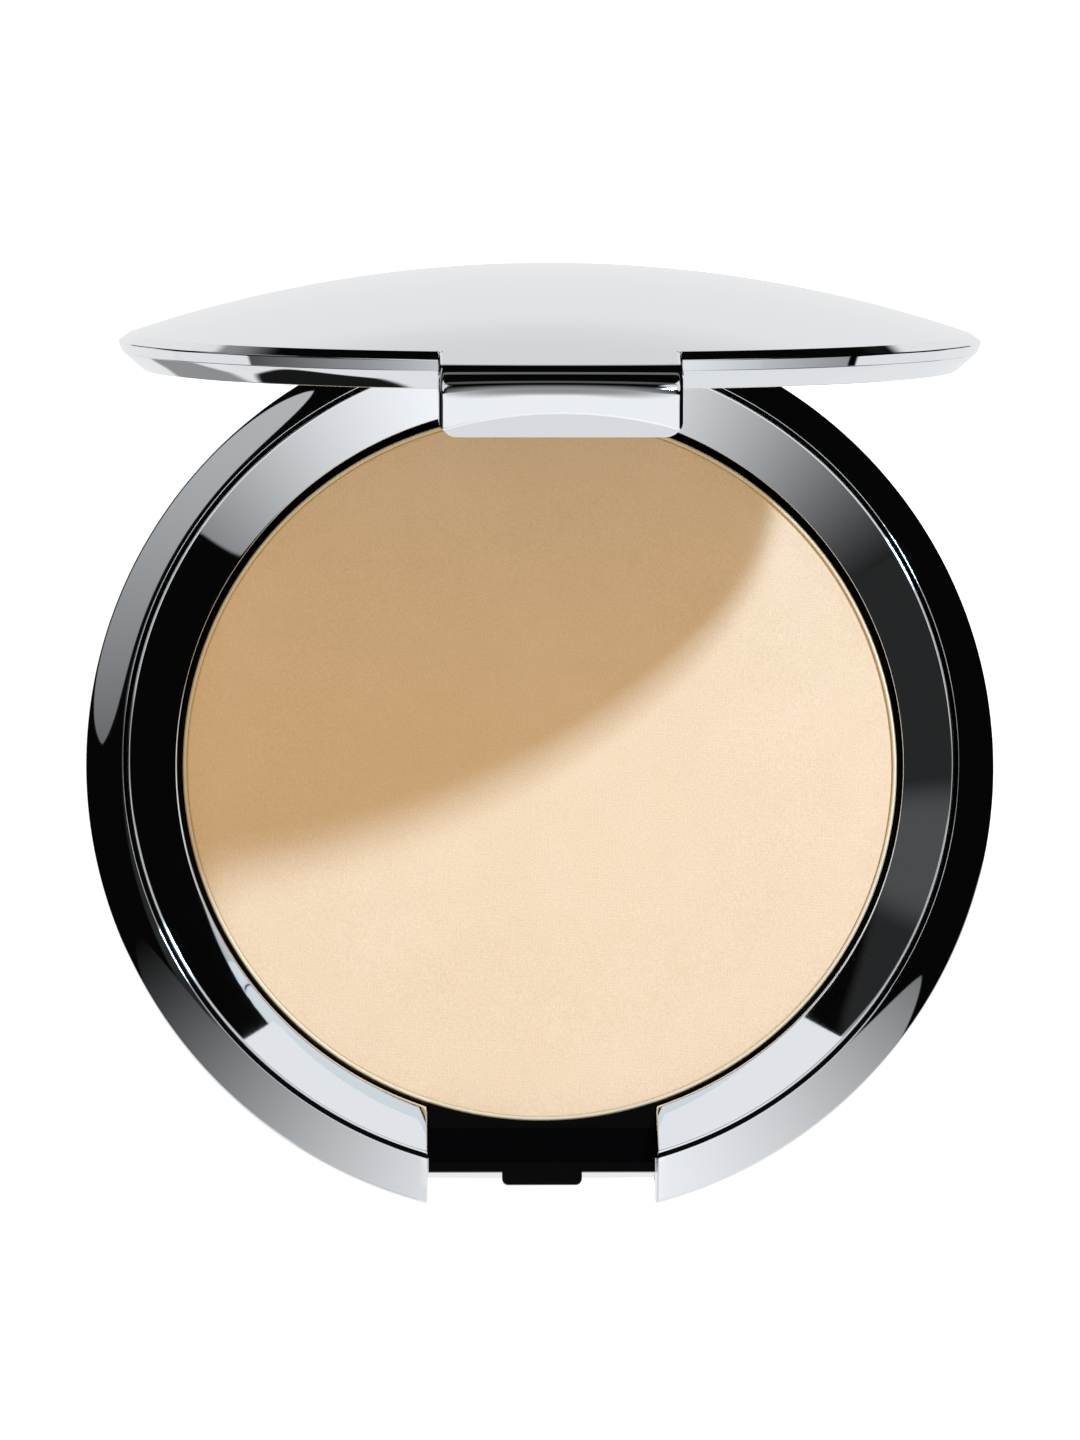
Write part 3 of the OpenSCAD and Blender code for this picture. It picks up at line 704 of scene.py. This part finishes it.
liner = {
    "height": 1.48,
    "topRadius": 33.42,
    "faceRadius": 31.73,
    "holeRadius": 28.03,
    "joinRadius": 31.8,
    "recess": (0.55, 0.75),       # underside and top of the web behind the mirror, above the lid's edge
    "rounds": (0, 0.05, 0.3, 0.2, 0, 0),
    "glassSink": 0.13,
    "glassThick": 1.6,
    "glassRounds": (0, 0.18, 0.1, 0),
}


def linerAndMirror():
    # the ring that frames the mirror, and the glass in it: outlines turned about the axis of the closed lid
    n = liner
    bottom = lid["edgeBottom"]
    faceZ = bottom - n["height"]
    under, over = bottom + n["recess"][0], bottom + n["recess"][1]
    line = roundCorners([[n["joinRadius"], bottom], [n["topRadius"], bottom], [n["faceRadius"], faceZ],
                         [n["holeRadius"], faceZ], [n["holeRadius"], under], [0, under]], n["rounds"])
    top = np.array([[0, over], [28.0, over], [n["joinRadius"], bottom]])
    verts, faces = spin(densify(np.concatenate([line, top]), 1.4))
    piece = makePiece("lidLiner", openLid(verts), faces, "lid", chrome)
    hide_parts("lid_liner")
    glassRadius = glassHigh[0]
    glassFace = faceZ + n["glassSink"]
    glassBack = glassFace + n["glassThick"]
    line = roundCorners([[0, glassFace], [glassRadius, glassFace], [glassRadius, glassBack], [0, glassBack]],
                        n["glassRounds"])
    verts, faces = spin(densify(line, 2.0), 256)
    glass = makePiece("mirrorGlass", openLid(verts), faces, "lid", mirrorLook)
    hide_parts("mirror_glass")


lidShell()
knuckle()
linerAndMirror()
print("lid made")


finishes = {
    "pan_tray": blackPlastic, "base_label": labelLook, "weight_plate": steelLook, "pan_glue": glueLook,
    "hinge_pin": pinLook, "mirror_tape": tapeLook, "mirror_backing": backingLook,
}
for nodeName, look in finishes.items():
    node = frame["nodes"][nodeName]
    node.data.materials.clear()
    node.data.materials.append(look)


def makeFloor():
    # white acrylic sheet, satin and lit through from below, so that it stays pale under the piece
    mesh = bpy.data.meshes.new("studioFloor")
    s = 1.5     # half its side, in metres
    mesh.from_pydata([(-s, -s, 0), (s, -s, 0), (s, s, 0), (-s, s, 0)], [], [(0, 1, 2, 3)])
    floor = bpy.data.objects.new("studioFloor", mesh)
    floor.location.z = -0.0002
    scene.collection.objects.link(floor)
    material, _, _ = newMaterial("whiteAcrylicTable", {
        "Base Color": (0.6, 0.6, 0.6, 1), "Roughness": 0.6, "Specular IOR Level": 0.0,
        "Emission Color": (1, 1, 1, 1), "Emission Strength": 0.9})
    mesh.materials.append(material)
    floor.visible_glossy = False     # the chrome sees the studio's cards and not the table
    floor.visible_diffuse = False


# each card is a soft-edged patch of the studio round the object. Azimuth is clockwise from +X seen from above,
# wide and high are half sizes, all in degrees; fade is how far from its brightest azimuth its light dies out, and
# soft is the width of its edge as a share of its size
cards = [
    {"name": "rearBlack", "azimuth": 272, "up": 17, "wide": 84, "high": 49, "power": 8, "risePower": 8,
     "soft": 0.3, "level": 0.002},
    {"name": "leftDark", "azimuth": 190, "up": 18, "wide": 42, "high": 13, "power": 8, "risePower": 8,
     "soft": 0.3, "level": 0.022},
    {"name": "leftStreak", "azimuth": 202, "up": 15, "wide": 9, "high": 12, "power": 2, "risePower": 6,
     "soft": 0.7, "level": 0.08},
    {"name": "rearZenith", "azimuth": 272, "up": 72, "wide": 90, "high": 13, "power": 2, "risePower": 2,
     "soft": 1.0, "level": 0.3},
    {"name": "leftRear", "azimuth": 217, "up": -9.5, "wide": 27, "high": 8.4, "power": 6, "risePower": 1.3,
     "soft": 0.04, "level": 0.52, "bright": 250, "fade": 95, "tilt": -0.13},
    {"name": "rearStripe", "azimuth": 270, "up": 15, "wide": 50, "high": 4.0, "power": 2, "risePower": 2,
     "soft": 0.4, "level": 0.16},
    {"name": "frontHigh", "azimuth": 91.2, "up": 52, "wide": 65, "high": 43.5, "power": 20, "risePower": 20,
     "soft": 0.1, "level": 1.08, "bright": 81, "fade": 81, "fadeBelow": 36},
    {"name": "frontLow", "azimuth": 93, "up": -3.5, "wide": 70.5, "high": 14, "power": 6, "risePower": 1.25,
     "soft": 0.03, "level": 1.0, "bright": 82, "fade": 83},
    {"name": "frontTable", "azimuth": 84, "up": -29.8, "wide": 79, "high": 16, "power": 8, "risePower": 8,
     "soft": 0.2, "level": 0.84},
    {"name": "frontMiddle", "azimuth": 91, "up": -8, "wide": 13, "high": 9, "power": 4, "risePower": 4,
     "soft": 0.5, "level": 0.8},
    {"name": "tableLeft", "azimuth": 116, "up": -42, "wide": 11, "high": 11, "power": 4, "risePower": 4,
     "soft": 0.3, "level": 0.01},
    {"name": "tableLeftGrey", "azimuth": 136, "up": -62, "wide": 26, "high": 10, "power": 2, "risePower": 2,
     "soft": 0.3, "level": 0.3},
    {"name": "tableRear", "azimuth": 270, "up": -60, "wide": 34, "high": 30, "power": 4, "risePower": 4,
     "soft": 0.12, "level": 0.85},
    {"name": "tableRearEdge", "azimuth": 268, "up": -33, "wide": 22, "high": 10, "power": 2, "risePower": 2,
     "soft": 1.0, "level": 0.74},
    {"name": "rearRight", "azimuth": 322, "up": -42, "wide": 20, "high": 14, "power": 6, "risePower": 4,
     "soft": 0.2, "level": 0.002},
    {"name": "rearLeft", "azimuth": 220, "up": -42, "wide": 18, "high": 14, "power": 6, "risePower": 4,
     "soft": 0.2, "level": 0.002},
    {"name": "rearWindowLeft", "azimuth": 217, "up": 41, "wide": 18, "high": 13, "power": 4, "risePower": 4,
     "soft": 0.3, "level": 0.78},
    {"name": "rearWindowRight", "azimuth": 323, "up": 41, "wide": 18, "high": 13, "power": 4, "risePower": 4,
     "soft": 0.3, "level": 0.78},
    {"name": "rearGlow", "azimuth": 270, "up": 46, "wide": 40, "high": 3, "power": 4, "risePower": 2,
     "soft": 1.0, "level": 0.1},
]


def planAngle(tree, plan, azimuth):
    # signed angle in plan from the azimuth to the ray, in degrees: arctan2(across, along)
    a = math.radians(azimuth)
    along = addNode(tree, "ShaderNodeVectorMath", {"operation": "DOT_PRODUCT"}, {
        0: plan, 1: (math.cos(a), -math.sin(a), 0)})
    across = addNode(tree, "ShaderNodeVectorMath", {"operation": "DOT_PRODUCT"}, {
        0: plan, 1: (-math.sin(a), -math.cos(a), 0)})
    angle = addNode(tree, "ShaderNodeMath", {"operation": "ARCTAN2"}, {
        0: across.outputs["Value"], 1: along.outputs["Value"]})
    return addNode(tree, "ShaderNodeMath", {"operation": "DEGREES"}, {0: angle.outputs[0]}).outputs[0]


def cardMask(tree, plan, up, card):
    # 1 inside the card and 0 outside, eased by soft where this reaches 1:
    # |angle / wide| ^ power + |(up - middle) / high| ^ risePower
    angle = planAngle(tree, plan, card["azimuth"])
    middle = addNode(tree, "ShaderNodeMath", {"operation": "MULTIPLY_ADD"}, {
        0: angle, 1: card.get("tilt", 0.0), 2: card["up"]})
    above = addNode(tree, "ShaderNodeMath", {"operation": "SUBTRACT"}, {0: up, 1: middle.outputs[0]})
    parts = []
    for distance, half, power in ((angle, card["wide"], card["power"]),
                                  (above.outputs[0], card["high"], card["risePower"])):
        share = addNode(tree, "ShaderNodeMath", {"operation": "DIVIDE"}, {0: distance, 1: half})
        size = addNode(tree, "ShaderNodeMath", {"operation": "ABSOLUTE"}, {0: share.outputs[0]})
        parts.append(addNode(tree, "ShaderNodeMath", {"operation": "POWER"}, {0: size.outputs[0], 1: power}))
    reach = addNode(tree, "ShaderNodeMath", {"operation": "ADD"}, {0: parts[0].outputs[0], 1: parts[1].outputs[0]})
    return addNode(tree, "ShaderNodeMapRange", {"interpolation_type": "SMOOTHSTEP"}, {
        "Value": reach.outputs[0], "From Min": 1 + card["soft"], "From Max": 1 - card["soft"]}).outputs["Result"]


def makeWorld():
    # the room by direction: dark walls, a pale ceiling and table, then each card laid over what is there so far
    look = {
        "matte": "d6be9e",                  # tint of the room on matte surfaces
        "dark": 0.002,                      # the room's walls
        "top": 0.97, "topEdge": (36, 50),   # ceiling and the degrees up where it sets in
        "table": 0.86, "tableEdge": (-35, -42),
    }
    world = bpy.data.worlds.new("studioRoom")
    scene.world = world
    world.use_nodes = True
    tree = world.node_tree
    tree.nodes.clear()
    eased = {"interpolation_type": "SMOOTHSTEP"}
    way = addNode(tree, "ShaderNodeTexCoord").outputs["Generated"]
    split = addNode(tree, "ShaderNodeSeparateXYZ", inputs={"Vector": way})
    up = addNode(tree, "ShaderNodeMath", {"operation": "ARCSINE"}, {0: split.outputs["Z"]})
    up = addNode(tree, "ShaderNodeMath", {"operation": "DEGREES"}, {0: up.outputs[0]}).outputs[0]
    plan = addNode(tree, "ShaderNodeVectorMath", {"operation": "MULTIPLY"}, {0: way, 1: (1, 1, 0)})
    plan = addNode(tree, "ShaderNodeVectorMath", {"operation": "NORMALIZE"}, {0: plan.outputs[0]}).outputs[0]
    current = addNode(tree, "ShaderNodeMapRange", eased, {
        "Value": up, "From Min": look["topEdge"][0], "From Max": look["topEdge"][1],
        "To Min": look["dark"], "To Max": look["top"]})
    table = addNode(tree, "ShaderNodeMapRange", eased, {
        "Value": up, "From Min": look["tableEdge"][0], "From Max": look["tableEdge"][1]})
    current = addNode(tree, "ShaderNodeMix", {"data_type": "FLOAT"}, {
        "Factor": table.outputs["Result"], 2: current.outputs["Result"], 3: look["table"]}).outputs[0]
    for card in cards:
        mask = cardMask(tree, plan, up, card)
        level = card["level"]
        if "fade" in card:
            away = addNode(tree, "ShaderNodeMath", {"operation": "ABSOLUTE"}, {
                0: planAngle(tree, plan, card["bright"])})
            level = addNode(tree, "ShaderNodeMapRange", eased, {
                "Value": away.outputs[0], "From Min": 0.0, "From Max": card["fade"],
                "To Min": card["level"], "To Max": 0.0}).outputs["Result"]
        if "fadeBelow" in card:     # above this many degrees up the card is as bright as the ceiling
            upper = addNode(tree, "ShaderNodeMapRange", eased, {
                "Value": up, "From Min": card["fadeBelow"], "From Max": card["fadeBelow"] + 14})
            level = addNode(tree, "ShaderNodeMix", {"data_type": "FLOAT"}, {
                "Factor": upper.outputs["Result"], 2: level, 3: look["top"]}).outputs[0]
        current = addNode(tree, "ShaderNodeMix", {"data_type": "FLOAT"}, {
            "Factor": mask, 2: current, 3: level}).outputs[0]
    seen = addNode(tree, "ShaderNodeBackground", inputs={"Color": (1, 1, 1, 1), "Strength": 1.0})
    path = addNode(tree, "ShaderNodeLightPath")
    # matte surfaces take a warmer, dimmer share of the room, as under a tungsten lamp
    tone = addNode(tree, "ShaderNodeMix", {"data_type": "RGBA"}, {
        "Factor": path.outputs["Is Diffuse Ray"], 6: (1, 1, 1, 1), 7: srgb(look["matte"])})
    room = addNode(tree, "ShaderNodeBackground", inputs={"Color": tone.outputs[2], "Strength": current})
    both = addNode(tree, "ShaderNodeMixShader", inputs={
        0: path.outputs["Is Camera Ray"], 1: room.outputs[0], 2: seen.outputs[0]})
    addNode(tree, "ShaderNodeOutputWorld", inputs={"Surface": both.outputs[0]})


def addLamp(name, azimuth, elevation, distance, size, power, colour="ffffff", aim=(0, 0, 0.006)):
    # an area lamp placed by direction from the powder; azimuth is clockwise from +X seen from above
    lamp = bpy.data.lights.new(name, "AREA")
    lamp.size, lamp.energy, lamp.color = size, power, srgb(colour)[:3]
    a, e = math.radians(azimuth), math.radians(elevation)
    obj = bpy.data.objects.new(name, lamp)
    toLamp = Vector((math.cos(a) * math.cos(e), -math.sin(a) * math.cos(e), math.sin(e)))
    obj.location = Vector(aim) + distance * toLamp
    obj.rotation_euler = (Vector(aim) - obj.location).to_track_quat("-Z", "Y").to_euler()
    scene.collection.objects.link(obj)
    return obj


def makeMirrorCard():
    # a white card in front of the open mirror, lit on its front only, for the bezel's front to see
    card = {"middle": (1.3, 26.0, 24.5), "wide": 36.3, "high": 30.0, "level": 0.88}
    x, y, z = card["middle"]
    w, h = card["wide"] / 2, card["high"] / 2
    mesh = bpy.data.meshes.new("mirrorCard")
    corners = np.array([(x - w, y, z - h), (x + w, y, z - h), (x + w, y, z + h), (x - w, y, z + h)]) * mm
    mesh.from_pydata(corners.tolist(), [], [(0, 1, 2, 3)])
    piece = bpy.data.objects.new("mirrorCard", mesh)
    scene.collection.objects.link(piece)
    material = bpy.data.materials.new("whiteFoamBoard")
    material.use_nodes = True
    tree = material.node_tree
    tree.nodes.clear()
    lit = addNode(tree, "ShaderNodeEmission", inputs={"Strength": card["level"]})
    clear = addNode(tree, "ShaderNodeBsdfTransparent")
    back = addNode(tree, "ShaderNodeNewGeometry").outputs["Backfacing"]
    both = addNode(tree, "ShaderNodeMixShader", inputs={0: back, 1: lit.outputs[0], 2: clear.outputs[0]})
    addNode(tree, "ShaderNodeOutputMaterial", inputs={"Surface": both.outputs[0]})
    mesh.materials.append(material)
    for ray in ("camera", "diffuse", "shadow", "transmission", "volume_scatter"):
        setattr(piece, "visible_" + ray, False)


def makeCamera():
    # a long lens almost straight above; from is in millimetres, measured from the base's rim
    view = {"focal": 210.1, "pitch": 7.98, "yaw": -1.32, "roll": -0.03, "from": (-15.91, -92.19, 679.76)}
    data = bpy.data.cameras.new("studioCamera")
    data.lens, data.sensor_width = view["focal"], 36
    camera = bpy.data.objects.new("studioCamera", data)
    x, y, z = view["from"]
    turn = (Matrix.Rotation(math.radians(view["pitch"]), 4, "X") @ Matrix.Rotation(math.radians(view["yaw"]), 4, "Y")
            @ Matrix.Rotation(math.radians(view["roll"]), 4, "Z"))
    camera.matrix_world = Matrix.Translation((x * mm, y * mm, (z + base["stepHeight"]) * mm)) @ turn
    data.clip_start, data.clip_end = 0.05, 10
    scene.collection.objects.link(camera)
    scene.camera = camera


makeFloor()
makeMirrorCard()
makeWorld()
key = addLamp("keyLamp", -40, 57.5, 0.9, 0.05, 7.05, "c5dfff")
fill = addLamp("warmFill", 90, 80, 0.8, 0.7, 2.2, "ffd9a0")
fill.visible_glossy = False
for lamp in (key, fill):
    lamp.visible_camera = False
scene.view_settings.view_transform = "Standard"
makeCamera()
print("stage, light and camera made")
